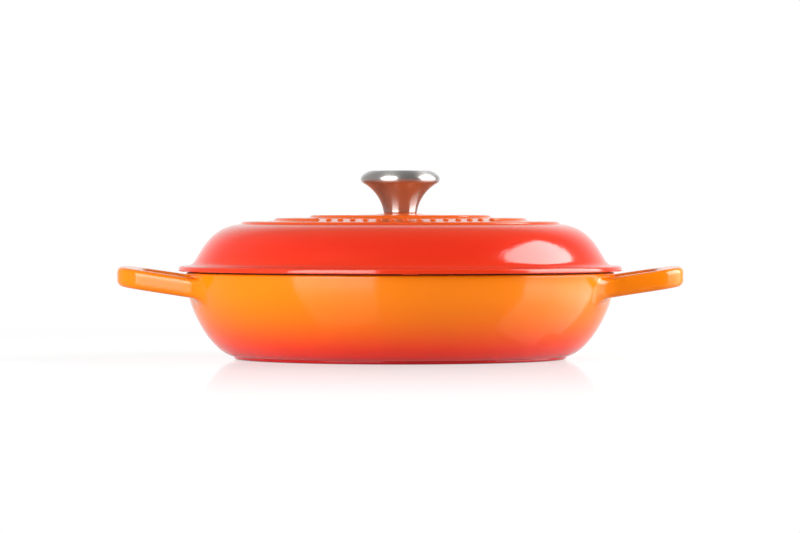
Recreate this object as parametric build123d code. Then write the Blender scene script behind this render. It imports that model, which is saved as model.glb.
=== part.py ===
"""A shallow enamelled cast-iron braiser with a domed lid and a steel knob.

Millimetres, +Z up. The origin is on the pan's axis, on the plane that it
stands on. The two handles lie along X, and the front is towards -Y.
"""
from build123d import *
import os
from math import asin, atan2, cos, degrees, radians, sin, sqrt, tan

# Pan: the turned bowl
rim_radius = 150.0
pan_height = 60.5
rim_outer_round = 1.4
rim_inner_round = 1.6
pan_wall = 4.2
floor_thickness = 4.2
foot_radius = 116.5
foot_height = 2.0
foot_round = 1.8
foot_ledge = 0.5
foot_land_width = 9.5
recess_depth = 0.6
recess_slope_run = 1.2
wall_start_angle = 10.6
wall_low_share = 0.432
wall_high_share = 0.440
floor_curve_share = 1.25

# Handles: one flat loop on each side, cast in one piece with the bowl
handle_projection = 47.5
handle_tilt_angle = 8.5
handle_thickness = 13.4
handle_round = 4.0
handle_rim_drop = 2.4
handle_bow_radius = 300.0
handle_corner_half = 48.0
handle_corner_inset = 3.0
handle_corner_round = 24.0
handle_neck_half = 57.0
handle_neck_inset = 1.0
handle_neck_round = 30.0
handle_root_depth = 32.0
handle_root_flare = 21.0
handle_root_fillet = 1.2
bar_width = 16.0
arm_width = 11.5
arm_root_width = 13.5
loop_corner_inset = 2.2
loop_corner_round = 12.0
loop_root_inset = 7.0
loop_root_round = 10.0

# Lid: a turned dome with a flat flange, three ridges and a spigot below
lid_turn_angle = 2.6
lid_wall = 3.6
dome_apex_height = 101.1
dome_radius = 900.0
shoulder_radius = 113.5
side_base_inset = 4.1
side_lean_angle = 32.9
side_low_share = 0.323
side_high_share = 0.440
flange_overhang = 5.1
flange_thickness = 3.6
flange_gap = 0.9
flange_round = 1.6
flange_root_round = 7.5
seat_margin = 0.9
spigot_clearance = 0.9
spigot_depth = 3.0
spigot_width = 4.0
spigot_round = 1.0

# Ridges and beads on the dome
outer_ridge_radius = 108.9
open_ridge_radius = 85.8
inner_ridge_radius = 60.9
ridge_height = 1.4
ridge_foot_half = 2.7
ridge_top_half = 1.5
ridge_round = 1.3
ridge_sink = 1.0
ridge_gap_half_angle = 44.8
bead_count = 13
bead_pitch_angle = 6.2
bead_height = 1.3
bead_foot_half = 2.3
bead_top_half = 1.4
bead_round = 1.2

# Small lands under the flange
nib_count = 4
nib_depth = 0.5
nib_length_angle = 4.1
nib_width = 3.0
nib_edge_inset = 2.6

# Boss above and flat pad below the lid's screw hole
boss_height = 0.7
boss_foot_radius = 12.0
boss_top_radius = 10.6
pad_radius = 9.5
pad_drop = 0.9
screw_hole_radius = 3.5

# Knob: a hollow flared body with a plate let into its top
knob_height = 29.7
knob_stem_radius = 11.7
knob_stem_angle = 8.2
knob_foot_chamfer = 0.6
knob_rim_radius = 27.7
knob_rim_fall = 8.2
knob_crown_height = 5.7
knob_lip_height = 3.5
knob_lip_depth = 2.4
knob_shell = 1.8
knob_floor = 3.0
knob_lip_share = 0.50
knob_crown_up_share = 0.42
knob_crown_in_share = 0.40
cap_lip = 0.9
cap_thickness = 1.6
cap_seat_width = 1.6
cap_dome = 0.25
cap_clearance = 0.1

# Bush inside the knob, and the screw with its washers under the lid
insert_radius = 5.6
insert_flange_radius = 8.0
insert_flange_thickness = 2.2
insert_spigot_radius = 4.6
insert_height = 14.5
screw_radius = 3.0
screw_length = 20.0
screw_head_radius = 6.0
screw_head_height = 3.7
screw_head_round = 1.8
screw_point = 0.6
drive_length = 7.0
drive_width = 1.5
drive_depth = 2.0
washer_radius = 6.4
washer_thickness = 1.4
lock_washer_radius = 5.9
lock_washer_thickness = 1.6
lock_slot_width = 1.0
lock_slot_angle = 25.0
thread_clearance = 0.05
washer_clearance = 0.25

# How far a cut runs past what it cuts
overrun = 2.0

# Places that follow from the sizes above
floor_top = recess_depth + floor_thickness
recess_edge_radius = foot_radius - foot_round - foot_land_width
handle_reach = rim_radius + handle_projection
flange_bottom = pan_height + flange_gap
flange_top = flange_bottom + flange_thickness
flange_radius = rim_radius + flange_overhang
side_base_radius = rim_radius - side_base_inset
rim_inner_radius = rim_radius - pan_wall
spigot_radius = rim_inner_radius - spigot_clearance
spigot_inner_radius = spigot_radius - spigot_width
knob_base = dome_apex_height + boss_height
knob_rim_height = knob_height - knob_crown_height
knob_top_radius = knob_rim_radius - knob_rim_fall
cap_radius = knob_top_radius - cap_lip
pad_height = dome_apex_height - lid_wall - pad_drop
lock_washer_top = pad_height - washer_thickness
head_top = lock_washer_top - lock_washer_thickness


def turned(section, axis=Axis.Z, angle=360.0):
    """Turn a section, drawn as radius and height, about an axis."""
    return revolve(Plane.XZ * section, axis, angle)


def along(start, direction, length):
    """The point at a length from a start, in a direction."""
    return (start[0] + length * direction[0], start[1] + length * direction[1])


def span(start, end):
    """The distance between two points."""
    return sqrt((end[0] - start[0]) ** 2 + (end[1] - start[1]) ** 2)


def heading(angle):
    """The unit direction at an angle in degrees from the radius."""
    return (cos(radians(angle)), sin(radians(angle)))


def moved_leg(start, end, gap):
    """One leg of a curve's frame, moved to its left by a gap."""
    length = span(start, end)
    shift = (-gap * (end[1] - start[1]) / length, gap * (end[0] - start[0]) / length)
    return tuple((point[0] + shift[0], point[1] + shift[1]) for point in (start, end))


def crossing(leg_a, leg_b):
    """The point where the lines of two legs cross."""
    (ax, ay), (bx, by) = leg_a
    (cx, cy), (dx, dy) = leg_b
    turn = (bx - ax) * (dy - cy) - (by - ay) * (dx - cx)
    share = ((cx - ax) * (dy - cy) - (cy - ay) * (dx - cx)) / turn
    return (ax + share * (bx - ax), ay + share * (by - ay))


def wall_points():
    """Frame of the bowl's outer wall, from the foot to the rim."""
    start = (foot_radius + foot_ledge, foot_height)
    end = (rim_radius, pan_height - rim_outer_round)
    low = along(start, heading(wall_start_angle), wall_low_share * (rim_radius - start[0]))
    high = (rim_radius, end[1] - wall_high_share * (end[1] - start[1]))
    return start, low, high, end


def bowl_outside():
    """The bowl as a solid disc with its outer wall, foot and recess."""
    start, low, high, end = wall_points()
    foot_end = foot_radius - foot_round
    edges = [
        Polyline(
            (0, pan_height), (0, recess_depth), (recess_edge_radius - recess_slope_run, recess_depth),
            (recess_edge_radius, 0), (foot_end, 0),
        ),
        JernArc((foot_end, 0), (1, 0), foot_round, 90),
        Polyline((foot_radius, foot_round), (foot_radius, foot_height), start),
        Bezier(start, low, high, end),
        JernArc(end, (0, 1), rim_outer_round, 90),
        Line((rim_radius - rim_outer_round, pan_height), (0, pan_height)),
    ]
    return turned(make_face(edges))


def bowl_inside():
    """What the bowl holds: its cavity, run out past the rim."""
    start, low, high, end = wall_points()
    middle_leg = moved_leg(low, high, pan_wall)
    floor_leg = ((0, floor_top), (rim_inner_radius, floor_top))
    top_leg = ((rim_inner_radius, floor_top), (rim_inner_radius, pan_height))
    inner_low = crossing(floor_leg, middle_leg)
    inner_high = crossing(middle_leg, top_leg)
    floor_end = along(inner_low, (-1, 0), floor_curve_share * span(start, low))
    inner_end = (rim_inner_radius, pan_height - rim_inner_round)
    mouth = rim_inner_radius + rim_inner_round
    edges = [
        Polyline((0, pan_height + overrun), (0, floor_top), floor_end),
        Bezier(floor_end, inner_low, inner_high, inner_end),
        JernArc(inner_end, (0, 1), rim_inner_round, -90),
        Polyline((mouth, pan_height), (mouth, pan_height + overrun), (0, pan_height + overrun)),
    ]
    return turned(make_face(edges))


def mirrored_outline(upper, radii):
    """A closed outline about the X axis from its upper points and corner radii."""
    lower = [(x, -y) for x, y in reversed(upper) if y > 0]
    lower_radii = [r for (x, y), r in reversed(list(zip(upper, radii))) if y > 0]
    return make_face(FilletPolyline(*upper, *lower, radius=[*radii, *lower_radii], close=True))


def handle_plan():
    """The loop seen from above: its outline less the finger opening."""
    half_turn = atan2(handle_corner_inset, handle_corner_half)
    tip = handle_reach + handle_bow_radius * (1 / cos(half_turn) - 1)
    root = (rim_radius - handle_root_depth, handle_neck_half + handle_root_flare)
    neck = (rim_radius - handle_neck_inset, handle_neck_half)
    outline = mirrored_outline(
        [root, neck, (tip - handle_corner_inset, handle_corner_half), (tip, 0)],
        [0, handle_neck_round, handle_corner_round, handle_bow_radius],
    )
    opening_tip = tip - bar_width
    opening_root = (rim_radius - loop_root_inset, handle_neck_half - arm_root_width)
    opening_corner = (opening_tip - loop_corner_inset, handle_corner_half - arm_width)
    opening = mirrored_outline(
        [opening_root, opening_corner, (opening_tip, 0)],
        [loop_root_round, loop_corner_round, handle_bow_radius - bar_width],
    )
    return outline - opening


def handle():
    """One loop, tilted up and outwards, with all its long edges rounded."""
    rise = tan(radians(handle_tilt_angle))
    drop = handle_thickness / cos(radians(handle_tilt_angle))
    inner_end = rim_radius - handle_root_depth - overrun
    outer_end = handle_reach + overrun
    inner_top = pan_height - handle_rim_drop - rise * (rim_radius - inner_end)
    outer_top = pan_height - handle_rim_drop + rise * (outer_end - rim_radius)
    side = make_face(Polyline(
        (inner_end, inner_top - drop), (outer_end, outer_top - drop),
        (outer_end, outer_top), (inner_end, inner_top), close=True,
    ))
    half_width = handle_neck_half + handle_root_flare + overrun
    slab = extrude(Plane.XZ * side, half_width, both=True)
    blank = extrude(handle_plan(), pan_height + handle_thickness)
    loop = slab & blank
    long_edges = loop.edges().filter_by(
        lambda edge: abs(edge.tangent_at(0.5).Z) < cos(radians(handle_tilt_angle + handle_tilt_angle))
    )
    return fillet(long_edges, handle_round)


def pan():
    """The bowl and both handles as one casting."""
    bowl = bowl_outside()
    loops = [handle(), handle().mirror(Plane.YZ)]
    casting = bowl + loops
    casting = fillet(new_edges(bowl, *loops, combined=casting), handle_root_fillet)
    return casting - bowl_inside()


def dome_height(radius):
    """Height of the dome's crown at a radius."""
    return dome_apex_height - dome_radius + sqrt(dome_radius**2 - radius**2)


def side_points():
    """Frame of the lid's side, from the flange up to the crown."""
    base = (side_base_radius, flange_top)
    top = (shoulder_radius, dome_height(shoulder_radius))
    reach = span(base, top)
    low = along(base, heading(90 + side_lean_angle), side_low_share * reach)
    slope = degrees(asin(shoulder_radius / dome_radius))
    high = along(top, heading(-slope), side_high_share * reach)
    return base, low, high, top


def crown_arc(drop):
    """The crown's curve from the axis to the shoulder, a drop below its top."""
    shrink = (dome_radius - drop) / dome_radius
    centre = dome_apex_height - dome_radius
    radii = (0, shoulder_radius / 2, shoulder_radius)
    points = [(r * shrink, centre + (dome_height(r) - centre) * shrink) for r in radii]
    return ThreePointArc(*points)


def lid_section():
    """Half section of the lid without its ridges."""
    base, low, high, top = side_points()
    turn = 90 - side_lean_angle
    trim = flange_root_round * tan(radians(turn / 2))
    side_end = along(base, heading(90 + side_lean_angle), trim)
    edge = flange_radius - flange_round
    outside = make_face([
        crown_arc(0),
        Bezier(top, high, low, side_end),
        JernArc(side_end, heading(-turn), flange_root_round, turn),
        Line((base[0] + trim, flange_top), (edge, flange_top)),
        JernArc((edge, flange_top), (1, 0), flange_round, -90),
        Line((flange_radius, flange_top - flange_round), (flange_radius, flange_bottom + flange_round)),
        JernArc((flange_radius, flange_bottom + flange_round), (0, -1), flange_round, -90),
        Polyline((edge, flange_bottom), (0, flange_bottom), (0, dome_apex_height)),
    ])
    seat_radius = rim_radius - rim_outer_round - seat_margin
    foot = pan_height - spigot_depth
    seat = make_face(FilletPolyline(
        (spigot_inner_radius, foot), (spigot_radius, foot), (spigot_radius, pan_height),
        (seat_radius, pan_height), (seat_radius, flange_bottom + overrun / 2),
        (spigot_inner_radius, flange_bottom + overrun / 2),
        radius=[spigot_round, spigot_round, 0, 0, 0, 0], close=True,
    ))
    legs = [moved_leg(a, b, lid_wall) for a, b in ((base, low), (low, high), (high, top))]
    inner_base, inner_top = legs[0][0], legs[2][1]
    inner_low, inner_high = crossing(legs[0], legs[1]), crossing(legs[1], legs[2])
    hollow = make_face([
        crown_arc(lid_wall),
        Bezier(inner_top, inner_high, inner_low, inner_base),
        Polyline(
            inner_base, (inner_base[0], foot - overrun), (0, foot - overrun),
            (0, dome_apex_height - lid_wall),
        ),
    ])
    core = Pos(spigot_inner_radius / 2, dome_apex_height / 2) * Rectangle(
        spigot_inner_radius, dome_apex_height
    )
    return outside + seat - (hollow & core)


def ridge_half(height, foot_half, top_half, rounding):
    """Half section of a ridge or bead, its foot sunk below the dome."""
    flank = (foot_half - top_half) / height
    deep_half = foot_half + flank * ridge_sink
    return make_face(FilletPolyline(
        (0, height), (top_half, height), (deep_half, -ridge_sink), (0, -ridge_sink),
        radius=[0, rounding, 0, 0], close=True,
    ))


def on_dome(piece, radius, angle):
    """Stand a piece on the dome at a radius, and turn it round to an angle."""
    slope = degrees(asin(radius / dome_radius))
    stand = Pos(radius, 0, dome_height(radius)) * Rot(0, slope, 0)
    return Rot(0, 0, angle) * stand * piece


def ridge(radius, start=0.0, sweep=360.0):
    """A ridge round the dome, or an arc of one with rounded ends."""
    half = ridge_half(ridge_height, ridge_foot_half, ridge_top_half, ridge_round)
    section = half + half.mirror(Plane.YZ)
    slope = degrees(asin(radius / dome_radius))
    placed = Pos(radius, dome_height(radius)) * Rot(0, 0, -slope) * section
    band = Rot(0, 0, start) * turned(placed, Axis.Z, sweep)
    if sweep < 360:
        end = turned(half)
        band += on_dome(end, radius, start)
        band += on_dome(end, radius, start + sweep)
    return band


def beads():
    """A row of plain round beads in each gap of the open ridge."""
    seam_angle = 90
    half = ridge_half(bead_height, bead_foot_half, bead_top_half, bead_round)
    bead = Rot(0, 0, seam_angle) * turned(half)
    row = []
    for middle in (-90, 90):
        for index in range(bead_count):
            angle = middle + (index - (bead_count - 1) / 2) * bead_pitch_angle
            row.append(on_dome(bead, open_ridge_radius, angle))
    return row


def nibs():
    """Small lands under the flange, evenly spaced round it."""
    outer = flange_radius - nib_edge_inset
    section = Pos(outer - nib_width / 2, flange_bottom) * Rectangle(nib_width, 2 * nib_depth)
    land = turned(section, Axis.Z, nib_length_angle)
    step = 360 / nib_count
    return [Rot(0, 0, index * step - nib_length_angle / 2) * land for index in range(nib_count)]


def lid():
    """The lid's casting, turned a little on its pan."""
    casting = turned(lid_section())
    casting += ridge(outer_ridge_radius)
    casting += ridge(inner_ridge_radius)
    sweep = 180 - 2 * ridge_gap_half_angle
    for middle in (0, 180):
        casting += ridge(open_ridge_radius, middle - sweep / 2, sweep)
    casting += beads()
    casting += nibs()
    boss_base = dome_height(boss_foot_radius) - lid_wall / 2
    casting += turned(make_face(Polyline(
        (0, boss_base), (boss_foot_radius, boss_base),
        (boss_foot_radius, dome_height(boss_foot_radius)), (boss_top_radius, knob_base),
        (0, knob_base), close=True,
    )))
    pad_length = boss_base - pad_height
    casting += Pos(0, 0, pad_height + pad_length / 2) * Cylinder(pad_radius, pad_length)
    casting -= Pos(0, 0, dome_apex_height) * Cylinder(screw_hole_radius, dome_apex_height)
    return Rot(0, 0, lid_turn_angle) * casting


def knob_body():
    """The knob's outer shell, open below for the bush and above for the cap."""
    flare_start = (knob_stem_radius, knob_foot_chamfer)
    flare_end = (knob_rim_radius - knob_lip_depth, knob_rim_height - knob_lip_height)
    flare = TangentArc(flare_start, flare_end, tangent=heading(90 - knob_stem_angle))
    lip_heading = (flare.tangent_at(1).X, flare.tangent_at(1).Y)
    rim = (knob_rim_radius, knob_rim_height)
    top = (knob_top_radius, knob_height)
    outside = make_face([
        Polyline((0, knob_height), (0, 0), (knob_stem_radius - knob_foot_chamfer, 0), flare_start),
        flare,
        Bezier(
            flare_end, along(flare_end, lip_heading, knob_lip_share * knob_lip_height),
            along(rim, (0, -1), knob_lip_share * knob_lip_height), rim,
        ),
        Bezier(
            rim, along(rim, (0, 1), knob_crown_up_share * knob_crown_height),
            along(top, (1, 0), knob_crown_in_share * knob_rim_fall), top,
        ),
        Line(top, (0, knob_height)),
    ])
    well_radius = cap_radius - cap_seat_width
    cap_base = knob_height - cap_thickness
    bore = knob_stem_radius - knob_shell
    inside = make_face(Polyline(
        (0, knob_floor), (bore, knob_floor), (bore, flare_end[1] / 2),
        (well_radius, flare_end[1]), (well_radius, cap_base),
        (cap_radius + cap_clearance, cap_base),
        (cap_radius + cap_clearance, knob_height + overrun), (0, knob_height + overrun),
        close=True,
    ))
    body = turned(outside) - turned(inside)
    body -= Cylinder(insert_spigot_radius, 2 * (knob_floor + overrun))
    return Pos(0, 0, knob_base) * body


def knob_cap():
    """The plate in the knob's top, very slightly crowned."""
    base = knob_height - cap_thickness
    crown = knob_height + cap_dome
    crown_radius = (cap_radius**2 + cap_dome**2) / (2 * cap_dome)
    half_way = crown - crown_radius + sqrt(crown_radius**2 - cap_radius**2 / 4)
    section = make_face([
        Polyline((0, crown), (0, base), (cap_radius, base), (cap_radius, knob_height)),
        ThreePointArc((cap_radius, knob_height), (cap_radius / 2, half_way), (0, crown)),
    ])
    return Pos(0, 0, knob_base) * turned(section)


def knob_insert():
    """The threaded bush that the screw pulls on."""
    flange = knob_floor + insert_flange_thickness
    top = knob_floor + insert_height
    bore = screw_radius + thread_clearance
    section = make_face(Polyline(
        (bore, 0), (insert_spigot_radius, 0), (insert_spigot_radius, knob_floor),
        (insert_flange_radius, knob_floor), (insert_flange_radius, flange),
        (insert_radius, flange), (insert_radius, top), (bore, top), close=True,
    ))
    return Pos(0, 0, knob_base) * turned(section)


def knob_screw():
    """A pan-head screw with a cross drive, put in from under the lid."""
    section = make_face(FilletPolyline(
        (0, -screw_head_height), (screw_head_radius, -screw_head_height), (screw_head_radius, 0),
        (screw_radius, 0), (screw_radius, screw_length - screw_point),
        (screw_radius - screw_point, screw_length), (0, screw_length),
        radius=[0, screw_head_round, 0, 0, 0, 0, 0], close=True,
    ))
    slot = Pos(0, 0, -screw_head_height) * Box(drive_length, drive_width, 2 * drive_depth)
    screw = turned(section) - slot - Rot(0, 0, 90) * slot
    return Pos(0, 0, head_top) * screw


def knob_washer():
    """The plain washer against the lid."""
    ring = Cylinder(washer_radius, washer_thickness)
    ring -= Cylinder(screw_radius + washer_clearance, washer_thickness + overrun)
    return Pos(0, 0, pad_height - washer_thickness / 2) * ring


def knob_lock_washer():
    """The split spring washer, pressed flat under the screw's head."""
    ring = Cylinder(lock_washer_radius, lock_washer_thickness)
    ring -= Cylinder(screw_radius + washer_clearance, lock_washer_thickness + overrun)
    slot = Box(2 * lock_washer_radius, lock_slot_width, 2 * (lock_washer_thickness + overrun))
    ring -= Pos(lock_washer_radius, 0, 0) * Rot(lock_slot_angle, 0, 0) * slot
    return Pos(0, 0, lock_washer_top - lock_washer_thickness / 2) * ring


parts = {
    "pan": pan(),
    "lid": lid(),
    "knob_body": knob_body(),
    "knob_cap": knob_cap(),
    "knob_insert": knob_insert(),
    "knob_screw": knob_screw(),
    "knob_washer": knob_washer(),
    "knob_lock_washer": knob_lock_washer(),
}

os.makedirs("parts", exist_ok=True)
for name, shape in parts.items():
    export_step(shape, f"parts/{name}.step")
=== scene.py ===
"""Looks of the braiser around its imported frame: enamel, steel, floor, light and camera.

Metres, +Z up, in the frame of the CAD model. The origin is on the pan's axis, on
the plane that it stands on. The handles lie along X, and the front is towards -Y.
"""
from math import asin, atan2, cos, degrees, hypot, pi, radians, sin, sqrt, tan

import bmesh
import bpy
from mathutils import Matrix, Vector

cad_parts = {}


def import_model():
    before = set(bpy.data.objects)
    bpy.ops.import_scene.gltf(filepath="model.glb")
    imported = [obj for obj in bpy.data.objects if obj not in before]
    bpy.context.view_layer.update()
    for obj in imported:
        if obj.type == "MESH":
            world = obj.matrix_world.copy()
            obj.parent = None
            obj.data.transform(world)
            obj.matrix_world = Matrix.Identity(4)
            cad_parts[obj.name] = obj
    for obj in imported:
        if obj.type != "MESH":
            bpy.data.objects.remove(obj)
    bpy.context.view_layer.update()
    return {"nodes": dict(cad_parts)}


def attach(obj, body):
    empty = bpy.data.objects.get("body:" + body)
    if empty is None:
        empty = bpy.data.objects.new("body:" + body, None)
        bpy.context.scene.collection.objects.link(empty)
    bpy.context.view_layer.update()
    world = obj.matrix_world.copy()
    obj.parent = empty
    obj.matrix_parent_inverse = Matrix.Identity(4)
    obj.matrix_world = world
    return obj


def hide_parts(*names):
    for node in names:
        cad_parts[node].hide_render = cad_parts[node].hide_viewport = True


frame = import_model()
scene = bpy.context.scene
scene.view_settings.view_transform = "Standard"

# Pan: the turned bowl
rim_radius = 0.150
pan_height = 0.0605
rim_outer_round = 0.0014
rim_inner_round = 0.0016
pan_wall = 0.0042
floor_thickness = 0.0042
foot_radius = 0.1165
foot_height = 0.0020
foot_round = 0.0018
foot_ledge = 0.0005
foot_land_width = 0.0095
recess_depth = 0.0006
recess_slope_run = 0.0012
wall_start_angle = 10.6
wall_low_share = 0.432
wall_high_share = 0.440
floor_curve_share = 1.25

# Handles: a flat loop on each side, made of two arms and a bowed bar, whose arms flare
# into the wall
handle_projection = 0.0475
handle_tilt_angle = 8.5
handle_thickness = 0.0134
handle_round = 0.0040
handle_rim_drop = 0.0024
handle_bow_radius = 0.300
handle_corner_half = 0.048
handle_corner_inset = 0.003
handle_corner_round = 0.024
handle_neck_half = 0.057
handle_neck_inset = 0.001
bar_width = 0.016
arm_width = 0.0115
arm_root_width = 0.0135
loop_corner_inset = 0.0022
loop_corner_round = 0.012
loop_root_inset = 0.007
flare_inside = 0.011
flare_outside = 0.015
flare_above = 0.0020
flare_below = 0.0075
root_sink = 0.0015

# Lid: a turned dome with a flat flange, three ridges and a spigot below
lid_turn_angle = 2.6
lid_wall = 0.0036
dome_apex_height = 0.1011
dome_radius = 0.900
shoulder_radius = 0.1135
side_base_inset = 0.0041
side_lean_angle = 32.9
side_low_share = 0.323
side_high_share = 0.440
flange_overhang = 0.0051
flange_thickness = 0.0036
flange_gap = 0.0009
flange_top_round = 0.0018
flange_low_round = 0.0007
flange_top_inset = 0.0004
flange_root_round = 0.0075
seat_margin = 0.0009
spigot_clearance = 0.0009
spigot_depth = 0.0030
spigot_width = 0.0040
spigot_round = 0.0010

# Ridges, beads and the small lands under the flange
outer_ridge_radius = 0.1089
open_ridge_radius = 0.0858
inner_ridge_radius = 0.0609
ridge_height = 0.0014
ridge_foot_half = 0.0027
ridge_top_half = 0.0015
ridge_round = 0.0013
ridge_foot_round = 0.0016
ridge_sink = 0.0010
ridge_gap_half_angle = 44.8
ridge_arc_middles = (0, 180)
ridge_gap_middles = (-90, 90)
bead_count = 13
bead_pitch_angle = 6.2
bead_height = 0.0013
bead_foot_half = 0.0023
bead_top_half = 0.0014
bead_round = 0.0012
bead_foot_round = 0.0012
nib_count = 4
nib_depth = 0.0005
nib_length_angle = 4.1
nib_width = 0.0030
nib_edge_inset = 0.0026
nib_round = 0.0003

# Boss above and pad below the lid's screw hole
boss_height = 0.0007
boss_foot_radius = 0.0185
boss_top_radius = 0.0118
boss_round = 0.0006
pad_radius = 0.0095
pad_drop = 0.0009
screw_hole_radius = 0.0035

# Knob: how far above its foot its duller rim starts
knob_flare_height = 0.0212

# How finely the meshes are divided
turn_steps = 240
bead_steps = 32
curve_steps = 40
round_steps = 8
arm_steps = 12
flare_steps = 10
side_steps = 5
wall_line_steps = 300
raised_step = 0.0015
dome_step = 0.004
sharp_angle = 35
same_place = 1e-7

# Where a handle's arm meets the wall: how far the search goes in lengths of the arm's
# straight run, how often that is halved, half the height over which the wall's slope is
# taken, and how hard the flare is drawn towards the corner that it rounds
wall_search_reach = 2.0
wall_search_steps = 40
wall_probe = 0.0002
flare_pull_share = 0.55

# The coats of a casting, in the order of its materials
outside_coat = 0
inside_coat = 1
black_coat = 2
foot_coat = 3

# Camera: the photograph's viewpoint
camera_place = (-0.0002, -2.933, 0.1043)
camera_pitch_angle = -0.778
camera_lens = 188.55
camera_sensor = 36.0

# Light: two upright softboxes that stand on the floor, each as one lamp for gloss, its
# shine, and one for colour, its fill. An azimuth is 0 towards the camera and grows to
# the right.
left_shine = {"azimuth": -34, "distance": 1.3, "width": 1.03, "height": 1.55, "radiance": 12.0}
left_fill = {"azimuth": -57, "distance": 1.3, "width": 1.03, "height": 0.80, "radiance": 7.6}
right_shine = {"azimuth": 94, "distance": 1.1, "width": 1.14, "height": 1.27, "radiance": 14.7}
right_fill = {"azimuth": 93, "distance": 1.1, "width": 1.56, "height": 0.98, "radiance": 6.5}

# The shine's strength at its foot and at its back edge, as shares of its full strength,
# and the height from which its foot no longer dims it
left_fade = {"low_share": 0.35, "back_share": 1.0}
right_fade = {"low_share": 0.05, "back_share": 0.67}
fade_height = 0.25

# Room: its even light from the left and from the right, and what gloss sees of it: a
# level in front and one behind, a share for each side, and white straight behind. The
# white starts and is full at these backward parts of the direction looked in.
left_ambient_level = 0.60
right_ambient_level = 0.20
left_gloss_share = 1.5
right_gloss_share = 0.5
front_gloss_level = 0.22
back_gloss_level = 0.40
white_back_start = 0.62
white_back_end = 0.98

# Floor: its paint and glow, and what light and gloss see of it from front to back
floor_half = 6.0
floor_drop = 0.0001
floor_white = 0.16
floor_glow = 0.85
floor_bounce = 0.30
floor_front_shine = 0.30
floor_back_shine = 0.90
floor_front = -0.30
floor_back = 1.00
floor_roughness = 0.045
floor_ior = 1.45

# The floor's shadow fades out between two radii
floor_shadow_radius = 0.50
floor_plain_radius = 1.00

# The floor's faint mirror image: its strength, and where it starts to fade and is gone,
# outwards from the middle, towards the back and out to both sides
floor_mirror_share = 0.40
floor_mirror_radius = 0.16
floor_matte_radius = 0.65
floor_mirror_front = -0.05
floor_mirror_back = 0.15
floor_mirror_inside = 0.155
floor_mirror_outside = 0.205

# Noise: its layers, and the middle range that its values mostly lie in
plain_detail = 2.0
speck_detail = 4.0
brush_detail = 3.0
noise_range = (0.3, 0.7)
speck_range = (0.60, 0.68)
brush_tone_range = (0.35, 0.65)

# Enamel: how fine its unevenness is, and how deep
enamel_cloud_scale = 22.0
enamel_cloud_shift = 0.0012
enamel_ripple_scale = 160.0
enamel_ripple = 0.00006
enamel_grain_scale = 700.0
enamel_grain = 0.000008
enamel_roughness = (0.10, 0.15)
enamel_specular = 0.30
sand_surface = {"roughness": 0.25, "speck_scale": 900.0, "specular": 0.5}
black_surface = {"roughness": 0.60, "speck_scale": 1500.0, "specular": 0.10}
foot_surface = {"roughness": 0.55, "speck_scale": 1200.0, "specular": 0.5}

# Steel: the turning marks' fineness, stretch and depth, its faint clouds, and how dull
# the marks leave it from their smoothest to their roughest
brush_scale = 2600.0
brush_stretch = 0.00035
brush_depth = 0.000003
steel_cloud_scale = 60.0
steel_cloud_roughness = 0.04
steel_metallic = 0.90
steel_anisotropy = 0.85
steel_anisotropy_turn = 0.25
knob_roughness = (0.15, 0.19)
knob_rim_roughness = (0.26, 0.31)
knob_rim_blend = 0.0003
screw_roughness = (0.22, 0.34)

# The screen's colour curve: its straight start, and the power that follows
screen_full = 255
screen_knee = 0.04045
screen_slope = 12.92
screen_offset = 0.055
screen_power = 2.4

# Numbers of a mix node's inputs and outputs
mix_share = 0
mix_values = (2, 3)
mix_colours = (6, 7)
mix_colour_result = 2

# Places that follow from the sizes above
floor_top = recess_depth + floor_thickness
recess_edge_radius = foot_radius - foot_round - foot_land_width
rim_inner_radius = rim_radius - pan_wall
handle_reach = rim_radius + handle_projection
flange_bottom = pan_height + flange_gap
flange_top = flange_bottom + flange_thickness
flange_radius = rim_radius + flange_overhang
side_base_radius = rim_radius - side_base_inset
spigot_radius = rim_inner_radius - spigot_clearance
spigot_inner_radius = spigot_radius - spigot_width
knob_base = dome_apex_height + boss_height
knob_rim_start = knob_base + knob_flare_height
pad_height = dome_apex_height - lid_wall - pad_drop


def heading(angle):
    """The unit direction at an angle in degrees from the radius."""
    return (cos(radians(angle)), sin(radians(angle)))


def along(start, direction, length):
    """The point at a length from a start, in a direction."""
    return (start[0] + length * direction[0], start[1] + length * direction[1])


def span(start, end):
    """The distance between two points."""
    return hypot(end[0] - start[0], end[1] - start[1])


def blend(start, end, share):
    """The point at a share of the way between two points."""
    return tuple(a + share * (b - a) for a, b in zip(start, end))


def moved_leg(start, end, gap):
    """One leg of a curve's frame, moved to its left by a gap."""
    length = span(start, end)
    shift = (-gap * (end[1] - start[1]) / length, gap * (end[0] - start[0]) / length)
    return tuple((point[0] + shift[0], point[1] + shift[1]) for point in (start, end))


def crossing(leg_a, leg_b):
    """The point where the lines of two legs cross."""
    (ax, ay), (bx, by) = leg_a
    (cx, cy), (dx, dy) = leg_b
    turn = (bx - ax) * (dy - cy) - (by - ay) * (dx - cx)
    share = ((cx - ax) * (dy - cy) - (cy - ay) * (dx - cx)) / turn
    return (ax + share * (bx - ax), ay + share * (by - ay))


def bezier(start, low, high, end, steps=curve_steps):
    """Points of a cubic curve, both ends included."""
    points = []
    for index in range(steps + 1):
        t = index / steps
        weights = ((1 - t) ** 3, 3 * t * (1 - t) ** 2, 3 * t**2 * (1 - t), t**3)
        legs = zip(start, low, high, end)
        points.append(tuple(sum(w * c for w, c in zip(weights, leg)) for leg in legs))
    return points


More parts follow.
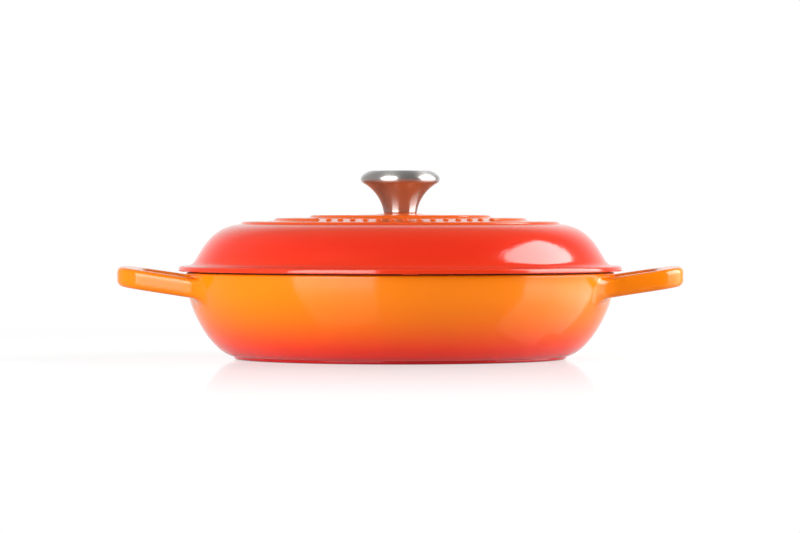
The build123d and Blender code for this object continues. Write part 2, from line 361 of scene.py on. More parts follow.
def rounded(points, radii):
    """A line through points whose inner corners are rounded to given radii."""
    line = [points[0]]
    for before, corner, after, radius in zip(points, points[1:], points[2:], radii):
        into = Vector(corner) - Vector(before)
        out = Vector(after) - Vector(corner)
        turn = into.angle_signed(out)
        if radius == 0:
            line.append(corner)
            continue
        trim = radius * tan(abs(turn) / 2)
        start = Vector(corner) - trim * into.normalized()
        side = Vector((-into.y, into.x)).normalized() * (-radius if turn > 0 else radius)
        centre = start + side
        first = atan2(-side.y, -side.x)
        for index in range(round_steps + 1):
            angle = first - turn * index / round_steps
            line.append((centre.x + radius * cos(angle), centre.y + radius * sin(angle)))
    line.append(points[-1])
    return line


class Shell:
    """Points and faces that are gathered for one mesh, and each face's coat."""

    def __init__(self):
        self.points = []
        self.faces = []
        self.coats = []

    def row(self, points):
        """Add a row of points, and return their numbers."""
        first = len(self.points)
        self.points.extend(points)
        return list(range(first, len(self.points)))

    def face(self, corners, coat=outside_coat):
        """Add one face."""
        self.faces.append(corners)
        self.coats.append(coat)

    def strip(self, low, high, coat=outside_coat):
        """Join two rings of as many points by a strip of faces."""
        for index in range(len(low)):
            following = (index + 1) % len(low)
            self.face((low[index], low[following], high[following], high[index]), coat)

    def fan(self, ring, centre, coat=outside_coat):
        """Close a ring of points to one point in its middle."""
        for index, number in enumerate(ring):
            self.face((number, ring[(index + 1) % len(ring)], centre), coat)

    def turned(self, profile, turn_angle=0.0):
        """Turn a profile of (radius, height, coat of the band that follows) about Z."""
        before = profile[-1:] + profile[:-1]
        profile = [p for p, last in zip(profile, before) if span(last, p) > same_place]
        rows = []
        for radius, height, _ in profile:
            if radius == 0:
                rows.append(self.row([(0, 0, height)]))
                continue
            angles = [radians(turn_angle) + 2 * pi * i / turn_steps for i in range(turn_steps)]
            rows.append(self.row([(radius * cos(a), radius * sin(a), height) for a in angles]))
        joined = zip(rows, rows[1:] + rows[:1], profile)
        for low, high, (_, _, coat) in joined:
            if len(low) == 1 and len(high) == 1:
                continue
            if len(low) == 1:
                self.fan(high[::-1], low[0], coat)
            elif len(high) == 1:
                self.fan(low, high[0], coat)
            else:
                self.strip(low, high, coat)


def new_piece(name, shell, coats, body, slot, *nodes):
    """A smooth mesh object that rides on a body and stands for CAD nodes."""
    mesh = bpy.data.meshes.new(name)
    mesh.from_pydata([tuple(point) for point in shell.points], [], shell.faces)
    for coat in coats:
        mesh.materials.append(coat)
    mesh.polygons.foreach_set("material_index", shell.coats)
    mesh.polygons.foreach_set("use_smooth", [True] * len(shell.faces))
    outward = bmesh.new()
    outward.from_mesh(mesh)
    bmesh.ops.recalc_face_normals(outward, faces=outward.faces)
    outward.to_mesh(mesh)
    outward.free()
    mesh.set_sharp_from_angle(angle=radians(sharp_angle))
    piece = bpy.data.objects.new(name, mesh)
    scene.collection.objects.link(piece)
    weighted = piece.modifiers.new("even shading", "WEIGHTED_NORMAL")
    weighted.keep_sharp = True
    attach(piece, body)
    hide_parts(*nodes)


def painted(points, coat):
    """Profile points that all start bands of one coat."""
    return [(radius, height, coat) for radius, height in points]


def wall_points():
    """Frame of the bowl's outer wall, from the foot to the rim."""
    start = (foot_radius + foot_ledge, foot_height)
    end = (rim_radius, pan_height - rim_outer_round)
    low = along(start, heading(wall_start_angle), wall_low_share * (rim_radius - start[0]))
    high = (rim_radius, end[1] - wall_high_share * (end[1] - start[1]))
    return start, low, high, end


wall_line = bezier(*wall_points(), steps=wall_line_steps)


def wall_radius(height):
    """The outer wall's radius at a height, the rim's outer rounding included."""
    top_radius, top = wall_line[-1]
    if height > top:
        rise = min(height - top, rim_outer_round)
        return top_radius - rim_outer_round + sqrt(rim_outer_round**2 - rise**2)
    for (low_radius, low), (high_radius, high) in zip(wall_line, wall_line[1:]):
        if height <= high:
            share = (height - low) / (high - low)
            return low_radius + share * (high_radius - low_radius)
    return top_radius


def pan_profile():
    """The bowl's closed outline, from the middle of its base round to its floor."""
    start, low, high, end = wall_points()
    foot = rounded(
        [
            (0, recess_depth), (recess_edge_radius - recess_slope_run, recess_depth),
            (recess_edge_radius, 0), (foot_radius, 0), (foot_radius, foot_height), start,
        ],
        [recess_depth, recess_depth, foot_round, 0],
    )
    middle_leg = moved_leg(low, high, pan_wall)
    floor_leg = ((0, floor_top), (rim_inner_radius, floor_top))
    top_leg = ((rim_inner_radius, floor_top), (rim_inner_radius, pan_height))
    inner_low = crossing(floor_leg, middle_leg)
    inner_high = crossing(middle_leg, top_leg)
    floor_end = along(inner_low, (-1, 0), floor_curve_share * span(start, low))
    inner_end = (rim_inner_radius, pan_height - rim_inner_round)
    rim = rounded(
        [end, (rim_radius, pan_height), (rim_inner_radius, pan_height), inner_end],
        [rim_outer_round, rim_inner_round],
    )
    inside = bezier(inner_end, inner_high, inner_low, floor_end)
    land = [point for point in foot if point[0] <= foot_radius - foot_round]
    # The rim's outer rounding ends at this point, and the black coat starts there
    rim_crest = round_steps + 1
    profile = painted(land[:-1], foot_coat)
    profile += painted(foot[len(land) - 1:-1], outside_coat)
    profile += painted(bezier(start, low, high, end)[:-1], outside_coat)
    profile += painted(rim[:rim_crest], outside_coat)
    profile += painted(rim[rim_crest:-1], black_coat)
    return profile + painted([*inside, (0, floor_top)], inside_coat)


def handle_outlines():
    """Plan points of one half of the loop, outside and inside, from its arm to its middle."""
    half_turn = atan2(handle_corner_inset, handle_corner_half)
    tip = handle_reach + handle_bow_radius * (1 / cos(half_turn) - 1)
    inner_tip = tip - bar_width
    frames = [
        (
            (rim_radius - handle_neck_inset, handle_neck_half),
            (tip - handle_corner_inset, handle_corner_half), (tip, 0),
            handle_corner_round, handle_bow_radius,
        ),
        (
            (rim_radius - loop_root_inset, handle_neck_half - arm_root_width),
            (inner_tip - loop_corner_inset, handle_corner_half - arm_width), (inner_tip, 0),
            loop_corner_round, handle_bow_radius - bar_width,
        ),
    ]
    corner_count = 1 + (round_steps + 1)
    bow_half_count = round_steps // 2 + 1
    outlines = []
    for neck, corner, middle, corner_round, bow_round in frames:
        mirrored = (corner[0], -corner[1])
        line = rounded([neck, corner, middle, mirrored], [corner_round, bow_round])
        outlines.append(line[:corner_count + bow_half_count])
    return outlines


def handle_section(outer, inner):
    """Points round the loop's section between two plan points, each with its outward direction."""
    width = span(inner, outer)
    rise = tan(radians(handle_tilt_angle))
    drop = handle_thickness / cos(radians(handle_tilt_angle))
    near, far = handle_round, width - handle_round
    high, low = handle_round, drop - handle_round
    corners = ((0, far, high), (90, near, high), (180, near, low), (270, far, low))
    section = []
    for first, across, down in corners:
        for step in range(round_steps + 1):
            angle = radians(first + 90 * step / round_steps)
            place = (across + handle_round * cos(angle), down - handle_round * sin(angle))
            section.append((*place, angle))
    divided = []
    for start, end in zip(section, section[1:] + section[:1]):
        divided.append(start)
        # Where the direction stays the same, the section has a flat side
        if (end[2] - start[2]) % radians(360) == 0:
            side_end = (*end[:2], start[2])
            for step in range(1, side_steps):
                divided.append(blend(start, side_end, step / side_steps))
    points = []
    for across, down, angle in divided:
        x, y = blend(inner, outer, across / width)
        top = pan_height - handle_rim_drop + rise * (x - rim_radius)
        points.append((Vector((x, y, top - down)), cos(angle), sin(angle)))
    return points


def flared(corner_point, neck_point, lean_across, lean_up, across):
    """One line of the loop's surface, from the wall's skin along its flare and arm.

    The arm runs straight from its corner point through its neck point to the wall.
    The leans are the line's outward direction, across the arm and up.
    """
    run = neck_point - corner_point
    near, far = 0.0, wall_search_reach
    for _ in range(wall_search_steps):
        middle = (near + far) / 2
        point = corner_point + middle * run
        if hypot(point.x, point.y) > wall_radius(point.z):
            near = middle
        else:
            far = middle
    pierced = corner_point + near * run
    spread_across = (flare_outside if lean_across > 0 else flare_inside) * lean_across
    spread_up = (flare_above if lean_up > 0 else flare_below) * lean_up
    arm_share = near - hypot(spread_across, spread_up) / run.length
    arm = [corner_point + arm_share * step / arm_steps * run for step in range(arm_steps + 1)]
    landing = pierced + across * spread_across + Vector((0, 0, spread_up))
    fit = wall_radius(landing.z) / hypot(landing.x, landing.y)
    landing = Vector((landing.x * fit, landing.y * fit, landing.z))
    lower, upper = wall_radius(landing.z - wall_probe), wall_radius(landing.z + wall_probe)
    outward = Vector((landing.x, landing.y, 0)).normalized()
    normal = Vector((outward.x, outward.y, (lower - upper) / (2 * wall_probe))).normalized()
    grazing = pierced - (pierced - landing).dot(normal) * normal
    curve = bezier(
        arm[-1], arm[-1].lerp(pierced, flare_pull_share), landing.lerp(grazing, flare_pull_share),
        landing, flare_steps,
    )
    line = arm[:-1] + [Vector(point) for point in curve]
    return [landing - root_sink * outward, *reversed(line)]


def handle(shell, side):
    """One loop handle, on the +X side for side 1 and on the other for side -1."""
    outside, inside = handle_outlines()
    across = (Vector((*outside[0], 0)) - Vector((*inside[0], 0))).normalized()
    neck_section = handle_section(outside[0], inside[0])
    corner_section = handle_section(outside[1], inside[1])
    lines = []
    for (neck_point, _, _), (corner_point, lean, up) in zip(neck_section, corner_section):
        lines.append(flared(corner_point, neck_point, lean, up, across))
    rows = [list(row) for row in zip(*lines)]
    for outer, inner in zip(outside[2:], inside[2:]):
        rows.append([point for point, _, _ in handle_section(outer, inner)])
    rows += [[Vector((p.x, -p.y, p.z)) for p in row] for row in reversed(rows[:-1])]
    numbers = [shell.row([(side * p.x, p.y, p.z) for p in row]) for row in rows]
    for low, high in zip(numbers, numbers[1:]):
        shell.strip(low, high)
    for row, ring in ((rows[0], numbers[0]), (rows[-1], numbers[-1])):
        middle = sum(row, Vector((0, 0, 0))) / len(row)
        shell.fan(ring, shell.row([(side * middle.x, middle.y, middle.z)])[0])


def dome_height(radius):
    """Height of the dome's crown at a radius."""
    return dome_apex_height - dome_radius + sqrt(dome_radius**2 - radius**2)


def above_dome(radius, height):
    """The outline's point at a height square above the dome at a radius."""
    slope = asin(radius / dome_radius)
    return (radius + height * sin(slope), dome_height(radius) + height * cos(slope))


def on_dome(x, y, height):
    """The point at a height square above the dome at a place in plan."""
    radius = hypot(x, y)
    out, up = above_dome(radius, height)
    return (x * out / radius, y * out / radius, up)


def under_flange(x, y, depth):
    """The point at a depth below the flange at a place in plan."""
    return (x, y, flange_bottom - depth)


def raised_section(height, foot_half, top_half, top_round, foot_round):
    """Half outline of a ridge or bead, from the edge of its flat top down to its foot."""
    apron = foot_half + foot_round
    section = rounded(
        [(0, height), (top_half, height), (foot_half, 0), (apron, 0)], [top_round, foot_round]
    )
    return section[1:-1]


def raised(shell, place, spine_radius, middle_angle, half_angle, section, sink):
    """A ridge along an arc with round ends, or a round bead where the arc has no length."""
    arc_steps = int(2 * radians(half_angle) * spine_radius / raised_step)
    arc_start = middle_angle - half_angle
    pitch = 2 * half_angle / max(arc_steps, 1)
    arc = [arc_start + index * pitch for index in range(arc_steps + 1)]
    end_steps = bead_steps // 2
    bottom = (section[-1][0], -sink)
    rings = []
    for offset, height in [*section, bottom]:
        outer = [along((0, 0), heading(angle), spine_radius + offset) for angle in arc]
        inner = [along((0, 0), heading(angle), spine_radius - offset) for angle in reversed(arc)]
        ring = list(outer)
        for end_angle, turn in ((arc[-1], 0), (arc[0], 180)):
            centre = along((0, 0), heading(end_angle), spine_radius)
            for step in range(1, end_steps):
                angle = end_angle + turn + 180 * step / end_steps
                ring.append(along(centre, heading(angle), offset))
            if turn == 0:
                ring += inner
        rings.append(shell.row([place(x, y, height) for x, y in ring]))
    for low, high in zip(rings, rings[1:]):
        shell.strip(low, high)
    inner_first = arc_steps + end_steps
    inner_last = inner_first + arc_steps
    for ring in (rings[0], rings[-1]):
        outer = ring[:arc_steps + 1]
        inner = ring[inner_first:inner_last + 1][::-1]
        for index in range(arc_steps):
            shell.face((outer[index], outer[index + 1], inner[index + 1], inner[index]))
        shell.face(ring[arc_steps:inner_first + 1])
        shell.face([*ring[inner_last:], ring[0]])


def lid_side_points():
    """Frame of the lid's side, from the flange up to the crown."""
    base = (side_base_radius, flange_top)
    top = (shoulder_radius, dome_height(shoulder_radius))
    reach = span(base, top)
    low = along(base, heading(90 + side_lean_angle), side_low_share * reach)
    slope = asin(shoulder_radius / dome_radius)
    high = along(top, (cos(slope), -sin(slope)), side_high_share * reach)
    return base, low, high, top


def ridge_section():
    """Half outline of a ridge."""
    return raised_section(
        ridge_height, ridge_foot_half, ridge_top_half, ridge_round, ridge_foot_round
    )


def dome_run(start, stop):
    """Points of the bare dome between two radii, without its ends."""
    steps = int((stop - start) / dome_step) + 1
    return [above_dome(start + (stop - start) * step / steps, 0) for step in range(1, steps)]


def crown_profile():
    """The dome's outline from its boss to the shoulder, with the two whole ridges."""
    section = ridge_section()
    both_sides = [(-offset, height) for offset, height in reversed(section)] + section
    points = []
    start = boss_foot_radius + boss_round
    for ridge_radius in (inner_ridge_radius, outer_ridge_radius):
        points += dome_run(start, ridge_radius + both_sides[0][0])
        points += [above_dome(ridge_radius + offset, height) for offset, height in both_sides]
        start = ridge_radius + both_sides[-1][0]
    return points + dome_run(start, shoulder_radius)


def lid_profile():
    """The lid's closed outline, from its screw hole over the dome and back inside."""
    base, low, high, top = lid_side_points()
    boss = rounded(
        [
            (screw_hole_radius, knob_base), (boss_top_radius, knob_base),
            (boss_foot_radius, dome_height(boss_foot_radius)),
            above_dome(boss_foot_radius + boss_round, 0),
        ],
        [boss_round, boss_round],
    )
    trim = flange_root_round * tan(radians((90 - side_lean_angle) / 2))
    side_end = along(base, heading(90 + side_lean_angle), trim)
    side = bezier(top, high, low, side_end)
    seat_radius = rim_radius - rim_outer_round - seat_margin
    foot = pan_height - spigot_depth
    legs = [moved_leg(a, b, lid_wall) for a, b in ((base, low), (low, high), (high, top))]
    inner_base, inner_top = legs[0][0], legs[2][1]
    inner_low, inner_high = crossing(legs[0], legs[1]), crossing(legs[1], legs[2])
    inner_side = bezier(inner_base, inner_low, inner_high, inner_top)
    hollow = [point for point in inner_side if point[0] < spigot_inner_radius]
    flange = rounded(
        [
            side_end, base, (flange_radius - flange_top_inset, flange_top),
            (flange_radius, flange_bottom), (seat_radius, flange_bottom),
        ],
        [flange_root_round, flange_top_round, flange_low_round],
    )
    under = rounded(
        [
            (seat_radius, flange_bottom), (seat_radius, pan_height), (spigot_radius, pan_height),
            (spigot_radius, foot), (spigot_inner_radius, foot), (spigot_inner_radius, hollow[0][1]),
        ],
        [0, 0, spigot_round, spigot_round],
    )
    shrink = (dome_radius - lid_wall) / dome_radius
    inner_shoulder = shoulder_radius * shrink
    crown_steps = int(inner_shoulder / dome_step)
    crown = []
    for step in range(1, crown_steps):
        radius = blend((inner_shoulder, 0), (pad_radius, 0), step / crown_steps)[0]
        crown.append(above_dome(radius / shrink, -lid_wall))
    pad = rounded(
        [
            crown[-1], (pad_radius, above_dome(pad_radius / shrink, -lid_wall)[1]),
            (pad_radius, pad_height), (screw_hole_radius, pad_height),
        ],
        [boss_round, boss_round],
    )
    profile = painted(boss + crown_profile() + side + flange[:-1], outside_coat)
    profile += painted(under, black_coat)
    return profile + painted(hollow + crown + pad[1:], inside_coat)


def lid_shell():
    """The lid's casting with its ridges, beads and lands."""
    shell = Shell()
    shell.turned(lid_profile(), lid_turn_angle)
    ridge = ridge_section()
    bead = raised_section(bead_height, bead_foot_half, bead_top_half, bead_round, bead_foot_round)
    half_sweep = 90 - ridge_gap_half_angle
    for middle in ridge_arc_middles:
        middle_angle = lid_turn_angle + middle
        raised(shell, on_dome, open_ridge_radius, middle_angle, half_sweep, ridge, ridge_sink)
    for middle in ridge_gap_middles:
        for index in range(bead_count):
            angle = lid_turn_angle + middle + (index - (bead_count - 1) / 2) * bead_pitch_angle
            raised(shell, on_dome, open_ridge_radius, angle, 0, bead, ridge_sink)
    nib_radius = flange_radius - nib_edge_inset - nib_width / 2
    nib_corner = (nib_width / 2, nib_depth)
    nib = rounded([(0, nib_depth), nib_corner, (nib_width / 2, 0)], [nib_round])[1:]
    nib_half_angle = nib_length_angle / 2 - degrees(nib_width / 2 / nib_radius)
    for index in range(nib_count):
        angle = lid_turn_angle + 360 * index / nib_count
        raised(shell, under_flange, nib_radius, angle, nib_half_angle, nib, nib_depth)
    return shell


def pan_shell():
    """The bowl's casting with its two loop handles."""
    shell = Shell()
    shell.turned(pan_profile())
    for side in (1, -1):
        handle(shell, side)
    return shell


def channel(value):
    """The linear strength of one colour channel from its screen value."""
    share = value / screen_full
    if share <= screen_knee:
        return share / screen_slope
    return ((share + screen_offset) / (1 + screen_offset)) ** screen_power


def srgb(red, green, blue):
    """An opaque colour from its screen values."""
    return (channel(red), channel(green), channel(blue), 1.0)


# Colours, and for the enamels the height that each colour is reached at: the pan's go
# from its dark foot up to its rim, and the lid's from its flange up to its crown. The flame
# shading is the enamel's own; the darkest red at the pan's foot is partly painted shade
# where it meets the floor, and the warmer orange at the lid's shoulder is partly a painted
# warm tint of the sheen there
pan_flame_and_shade_stops = [
    # Partly painted shade: this darkest red also stands in for the shade where the foot meets the
    # floor
    (0.000, srgb(158, 6, 14)),
    (0.003, srgb(228, 32, 26)),
    (0.006, srgb(231, 46, 28)),
    (0.012, srgb(234, 60, 26)),
    (0.020, srgb(234, 88, 18)),
    (0.030, srgb(234, 109, 8)),
    (0.044, srgb(235, 121, 0)),
    (0.060, srgb(236, 122, 0)),
]
lid_flame_and_sheen_stops = [
    (0.0610, srgb(212, 50, 14)),
    (0.0680, srgb(212, 48, 18)),
    (0.0800, srgb(212, 37, 18)),
    # Partly painted highlight: these warmer oranges also stand in for the warm tint of the sheen on
    # the shoulder and ridges
    (0.0925, srgb(212, 52, 18)),
    (0.0965, srgb(212, 86, 18)),
    (0.1000, srgb(220, 90, 14)),
    (0.1020, srgb(226, 94, 12)),
]
white = (1.0, 1.0, 1.0, 1.0)
sand_colour = srgb(226, 208, 172)
sand_speck = srgb(196, 170, 128)
black_colour = srgb(40, 20, 13)
black_speck = srgb(60, 50, 45)
foot_colour = srgb(96, 44, 34)
steel_colour = (0.47, 0.455, 0.44, 1.0)
steel_dark = (0.41, 0.395, 0.38, 1.0)


class Nodes:
    """The nodes of a material or a world, added one by one."""

    def __init__(self, tree):
        self.tree = tree

    def add(self, kind, inputs=None, **settings):
        """A node with its settings, and its inputs linked or set."""
        node = self.tree.nodes.new(kind)
        for name, value in settings.items():
            setattr(node, name, value)
        for socket, value in (inputs or {}).items():
            self.feed(node.inputs[socket], value)
        return node

    def feed(self, socket, value):
        """Link an output to a socket, or set its value."""
        if isinstance(value, bpy.types.NodeSocket):
            self.tree.links.new(value, socket)
        else:
            socket.default_value = value

    def math(self, operation, *values):
        """The result of a calculation."""
        return self.add("ShaderNodeMath", dict(enumerate(values)), operation=operation).outputs[0]

    def times(self, *factors):
        """The product of some values."""
        product = factors[0]
        for factor in factors[1:]:
            product = self.math("MULTIPLY", product, factor)
        return product

    def range(self, value, low, high, to_low=0.0, to_high=1.0, **settings):
        """A value's range mapped to another, and held at its ends."""
        inputs = {
            "Value": value, "From Min": low, "From Max": high, "To Min": to_low, "To Max": to_high,
        }
        return self.add("ShaderNodeMapRange", inputs, **settings).outputs[0]

    def soft_range(self, value, low, high, to_low=0.0, to_high=1.0):
        """A value's range mapped to another that starts and ends gently."""
        return self.range(value, low, high, to_low, to_high, interpolation_type="SMOOTHSTEP")

    def between(self, share, first, second):
        """A value between two others."""
        inputs = {mix_share: share, mix_values[0]: first, mix_values[1]: second}
        return self.add("ShaderNodeMix", inputs).outputs[0]

    def parts(self, vector):
        """The X, Y and Z of a vector."""
        outputs = self.add("ShaderNodeSeparateXYZ", {0: vector}).outputs
        return outputs["X"], outputs["Y"], outputs["Z"]

    def white_glow(self, strength):
        """A white light of a strength."""
        return self.add("ShaderNodeEmission", {"Color": white, "Strength": strength}).outputs[0]


class Finish(Nodes):
    """A material about one shader, whose nodes are added one by one."""

    def __init__(self, name):
        self.material = bpy.data.materials.new(name)
        self.material.use_nodes = True
        super().__init__(self.material.node_tree)
        self.shader = self.tree.nodes["Principled BSDF"]
        self.place = self.add("ShaderNodeTexCoord").outputs["Object"]

    def noise(self, scale, detail=plain_detail, place=None):
        """A noise value about the object's place, or another."""
        inputs = {"Vector": place or self.place, "Scale": scale, "Detail": detail}
        return self.add("ShaderNodeTexNoise", inputs).outputs["Fac"]

    def ramp(self, value, stops):
        """Colours that blend smoothly along a value, as (place, colour) stops."""
        node = self.add("ShaderNodeValToRGB", {"Fac": value})
        node.color_ramp.interpolation = "B_SPLINE"
        while len(node.color_ramp.elements) < len(stops):
            node.color_ramp.elements.new(1.0)
        for element, (position, colour) in zip(node.color_ramp.elements, stops):
            element.position = position
            element.color = colour
        return node.outputs["Color"]

    def mixed(self, share, colour, other):
        """Two colours mixed by a share of the second."""
        node = self.add("ShaderNodeMix", data_type="RGBA")
        for index, value in zip((mix_share, *mix_colours), (share, colour, other)):
            self.feed(node.inputs[index], value)
        return node.outputs[mix_colour_result]

    def bump(self, height, distance, under=None):
        """A fine relief of a height in metres."""
        inputs = {"Height": height, "Distance": distance, "Strength": 1.0}
        if under:
            inputs["Normal"] = under
        return self.add("ShaderNodeBump", inputs).outputs[0]

    def set(self, inputs):
        """Set or link the shader's inputs."""
        for name, value in inputs.items():
            self.feed(self.shader.inputs[name], value)


def shaded_enamel(name, stops):
    """Gloss enamel whose colour changes with height, given as (height, colour) stops."""
    finish = Finish(name)
    low, high = stops[0][0], stops[-1][0]
    _, _, height = finish.parts(finish.place)
    cloud = finish.noise(enamel_cloud_scale)
    shift = finish.range(cloud, 0.0, 1.0, -enamel_cloud_shift, enamel_cloud_shift)
    share = finish.range(finish.math("ADD", height, shift), low, high)
    shades = [((place - low) / (high - low), shade) for place, shade in stops]
    relief = finish.bump(finish.noise(enamel_ripple_scale), enamel_ripple)
    grain = finish.noise(enamel_grain_scale)
    relief = finish.bump(grain, enamel_grain, relief)
    finish.set({
        "Base Color": finish.ramp(share, shades),
        "Roughness": finish.range(grain, *noise_range, *enamel_roughness),
        "Normal": relief,
        "Specular IOR Level": enamel_specular,
    })
    return finish.material


def speckled_enamel(name, colour, speck, roughness, speck_scale, specular):
    """Satin enamel of one colour with fine specks in it."""
    finish = Finish(name)
    specks = finish.range(finish.noise(speck_scale, speck_detail), *speck_range)
    relief = finish.bump(finish.noise(enamel_ripple_scale), enamel_ripple)
    relief = finish.bump(finish.noise(speck_scale), enamel_grain, relief)
    finish.set({
        "Base Color": finish.mixed(specks, colour, speck),
        "Roughness": roughness,
        "Normal": relief,
        "Specular IOR Level": specular,
    })
    return finish.material


def brushed_steel(name, colour, dark_colour, roughness, rim_roughness=None):
    """Satin steel with fine turning marks round the Z axis, and a duller rim where one is given."""
    finish = Finish(name)
    x, y, z = finish.parts(finish.place)
    squares = finish.math("ADD", finish.times(x, x), finish.times(y, y))
    radius = finish.math("SQRT", squares)
    around = finish.times(finish.math("ARCTAN2", y, x), brush_stretch)
    marks_place = finish.add("ShaderNodeCombineXYZ", {"X": radius, "Y": around, "Z": z}).outputs[0]
    marks = finish.noise(brush_scale, brush_detail, marks_place)
    gloss = finish.range(marks, *noise_range, *roughness)
    if rim_roughness:
        on_rim = finish.range(z, knob_rim_start, knob_rim_start + knob_rim_blend)
        gloss = finish.between(on_rim, gloss, finish.range(marks, *noise_range, *rim_roughness))
    cloud = finish.times(finish.noise(steel_cloud_scale), steel_cloud_roughness)
    tone = finish.range(marks, *brush_tone_range)
    finish.set({
        "Base Color": finish.mixed(tone, dark_colour, colour),
        "Roughness": finish.math("ADD", gloss, cloud),
        "Normal": finish.bump(marks, brush_depth),
        "Metallic": steel_metallic,
        "Anisotropic": steel_anisotropy,
        "Anisotropic Rotation": steel_anisotropy_turn,
        "Tangent": finish.add("ShaderNodeTangent", direction_type="RADIAL", axis="Z").outputs[0],
    })
    return finish.material


def dress(node, finish):
    """Give a CAD node a finish of this script."""
    for material_slot in frame["nodes"][node].material_slots:
        material_slot.material = finish


def camera():
    """The photograph's viewpoint."""
    data = bpy.data.cameras.new("photo camera")
    data.lens = camera_lens
    data.sensor_width = camera_sensor
    data.sensor_fit = "HORIZONTAL"
    viewpoint = bpy.data.objects.new("photo camera", data)
    viewpoint.location = camera_place
    viewpoint.rotation_euler = (radians(90 + camera_pitch_angle), 0, 0)
    scene.collection.objects.link(viewpoint)
    scene.camera = viewpoint


def fading_shine(tree, width, low_share, back_share):
    """White light that dims to a share of its strength at a lamp's foot and at its back edge."""
    tree.nodes.clear()
    nodes = Nodes(tree)
    place = nodes.add("ShaderNodeNewGeometry").outputs["Position"]
    _, back, height = nodes.parts(place)
    rising = nodes.range(height, 0.0, fade_height, low_share, 1.0)
    receding = nodes.range(back, -width / 2, width / 2, 1.0, back_share)
    glow = nodes.white_glow(nodes.times(rising, receding))
    nodes.add("ShaderNodeOutputLight", {"Surface": glow})


def softbox(name, azimuth, distance, width, height, radiance, fade=None):
    """An upright soft lamp on the floor that faces the braiser.

    With a fade it is for the shine alone, and without one for the fill alone.
    """
    direction = Vector((sin(radians(azimuth)), -cos(radians(azimuth)), 0))
    data = bpy.data.lights.new(name, "AREA")
    data.shape = "RECTANGLE"
    data.size, data.size_y = width, height
    data.energy = radiance * pi * width * height
    if fade:
        data.use_nodes = True
        fading_shine(data.node_tree, width, **fade)
    lamp = bpy.data.objects.new(name, data)
    lamp.location = distance * direction + Vector((0, 0, height / 2))
    lamp.rotation_euler = direction.to_track_quat("Z", "Y").to_euler()
    lamp.visible_camera = False
    lamp.visible_glossy = bool(fade)
    lamp.visible_diffuse = not fade
    scene.collection.objects.link(lamp)


def room_in_gloss(nodes, aside, back):
    """How bright gloss sees the room: dim in front, less dim behind, white straight behind."""
    front_to_back = nodes.soft_range(
        back, -white_back_start, white_back_start, front_gloss_level, back_gloss_level
    )
    left_to_right = nodes.range(aside, -1.0, 1.0, left_gloss_share, right_gloss_share)
    whiteness = nodes.soft_range(back, white_back_start, white_back_end)
    return nodes.between(whiteness, nodes.times(front_to_back, left_to_right), 1.0)


def world():
    """A room that is white for the camera, and lights the braiser more from the left."""
    studio = bpy.data.worlds.new("studio")
    studio.use_nodes = True
    studio.node_tree.nodes.clear()
    scene.world = studio
    nodes = Nodes(studio.node_tree)
    direction = nodes.add("ShaderNodeTexCoord").outputs["Generated"]
    aside, back, _ = nodes.parts(direction)
    ambient = nodes.range(aside, -1.0, 1.0, left_ambient_level, right_ambient_level)
    path = nodes.add("ShaderNodeLightPath").outputs
    level = nodes.between(path["Is Glossy Ray"], ambient, room_in_gloss(nodes, aside, back))
    open_view = nodes.math("MAXIMUM", path["Is Camera Ray"], path["Is Transmission Ray"])
    level = nodes.between(open_view, level, 1.0)
    background = nodes.add("ShaderNodeBackground", {"Color": white, "Strength": level})
    nodes.add("ShaderNodeOutputWorld", {"Surface": background.outputs[0]})


def floor_paint(nodes, path, radius, back):
    """White paint that takes the shadow near the braiser, and glows so that it looks white."""
    plain = nodes.soft_range(radius, floor_shadow_radius, floor_plain_radius)
    seen = nodes.between(plain, floor_glow, 1.0)
    shine = nodes.range(back, floor_front, floor_back, floor_front_shine, floor_back_shine)
    strength = nodes.between(path["Is Glossy Ray"], seen, shine)
    strength = nodes.between(path["Is Diffuse Ray"], strength, floor_bounce)
    grey = nodes.between(plain, floor_white, 0.0)
    channels = {"Red": grey, "Green": grey, "Blue": grey}
    paint = nodes.add("ShaderNodeCombineColor", channels).outputs[0]
    matte = nodes.add("ShaderNodeBsdfDiffuse", {"Color": paint}).outputs[0]
    return nodes.add("ShaderNodeAddShader", {0: nodes.white_glow(strength), 1: matte}).outputs[0]


def floor_mirror(nodes, path, radius, back, aside):
    """The floor's share of gloss: faint for the camera, and only near the braiser's front."""
    share = nodes.times(
        nodes.range(radius, floor_mirror_radius, floor_matte_radius, floor_mirror_share, 0.0),
        nodes.range(back, floor_mirror_front, floor_mirror_back, 1.0, 0.0),
        nodes.range(aside, floor_mirror_inside, floor_mirror_outside, 1.0, 0.0),
    )
    share = nodes.between(path["Is Camera Ray"], 1.0, share)
    grazing = nodes.add("ShaderNodeFresnel", {"IOR": floor_ior}).outputs[0]
    return nodes.times(share, grazing)


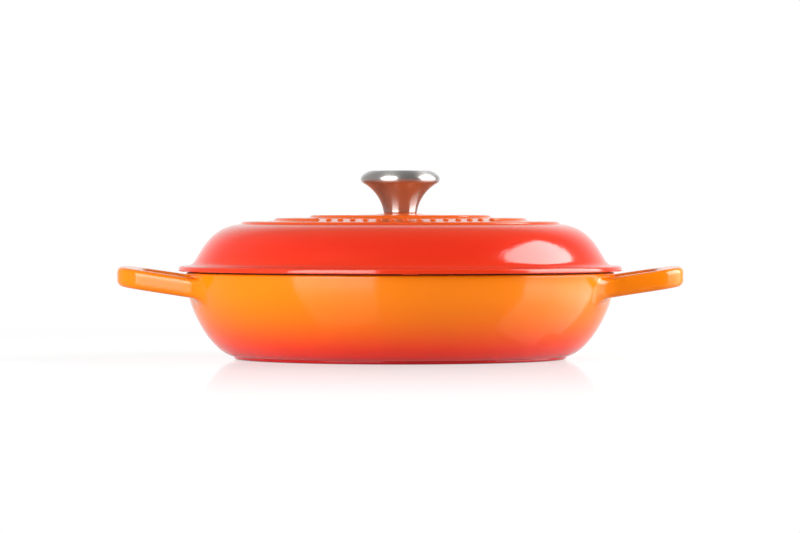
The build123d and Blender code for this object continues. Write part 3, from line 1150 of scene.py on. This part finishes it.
def floor_material():
    """White paint under a thin gloss."""
    material = bpy.data.materials.new("white floor")
    material.use_nodes = True
    material.node_tree.nodes.clear()
    nodes = Nodes(material.node_tree)
    path = nodes.add("ShaderNodeLightPath").outputs
    place = nodes.add("ShaderNodeTexCoord").outputs["Object"]
    across, back, _ = nodes.parts(place)
    aside = nodes.math("ABSOLUTE", across)
    radius = nodes.add("ShaderNodeVectorMath", {0: place}, operation="LENGTH").outputs["Value"]
    paint = floor_paint(nodes, path, radius, back)
    mirror = floor_mirror(nodes, path, radius, back, aside)
    gloss_inputs = {"Color": white, "Roughness": floor_roughness}
    gloss = nodes.add("ShaderNodeBsdfGlossy", gloss_inputs).outputs[0]
    surface = nodes.add("ShaderNodeMixShader", {0: mirror, 1: paint, 2: gloss})
    nodes.add("ShaderNodeOutputMaterial", {"Surface": surface.outputs[0]})
    return material


def studio_floor():
    """A white floor that keeps a soft shadow and a faint reflection of the braiser."""
    mesh = bpy.data.meshes.new("floor")
    signs = ((-1, -1), (1, -1), (1, 1), (-1, 1))
    corners = [(floor_half * x_sign, floor_half * y_sign, 0) for x_sign, y_sign in signs]
    mesh.from_pydata(corners, [], [(0, 1, 2, 3)])
    mesh.materials.append(floor_material())
    ground = bpy.data.objects.new("floor", mesh)
    ground.location.z = -floor_drop
    scene.collection.objects.link(ground)


camera()
world()
studio_floor()
softbox("left softbox shine", **left_shine, fade=left_fade)
softbox("left softbox fill", **left_fill)
softbox("right softbox shine", **right_shine, fade=right_fade)
softbox("right softbox fill", **right_fill)

pan_outside = shaded_enamel("pan enamel", pan_flame_and_shade_stops)
lid_outside = shaded_enamel("lid enamel", lid_flame_and_sheen_stops)
inside_enamel = speckled_enamel("inside enamel", sand_colour, sand_speck, **sand_surface)
black_enamel = speckled_enamel("rim enamel", black_colour, black_speck, **black_surface)
foot_enamel = speckled_enamel("foot enamel", foot_colour, black_speck, **foot_surface)
knob_steel = brushed_steel(
    "knob steel", steel_colour, steel_dark, knob_roughness, knob_rim_roughness
)
screw_steel = brushed_steel("screw steel", steel_colour, steel_dark, screw_roughness)

pan_coats = [pan_outside, inside_enamel, black_enamel, foot_enamel]
lid_coats = [lid_outside, inside_enamel, black_enamel]
new_piece("braiser_pan", pan_shell(), pan_coats, "pan", "pan_enamel", "pan")
new_piece("braiser_lid", lid_shell(), lid_coats, "lid", "lid_enamel", "lid")
for node in ("knob_body", "knob_cap"):
    dress(node, knob_steel)
for node in ("knob_insert", "knob_screw", "knob_washer", "knob_lock_washer"):
    dress(node, screw_steel)
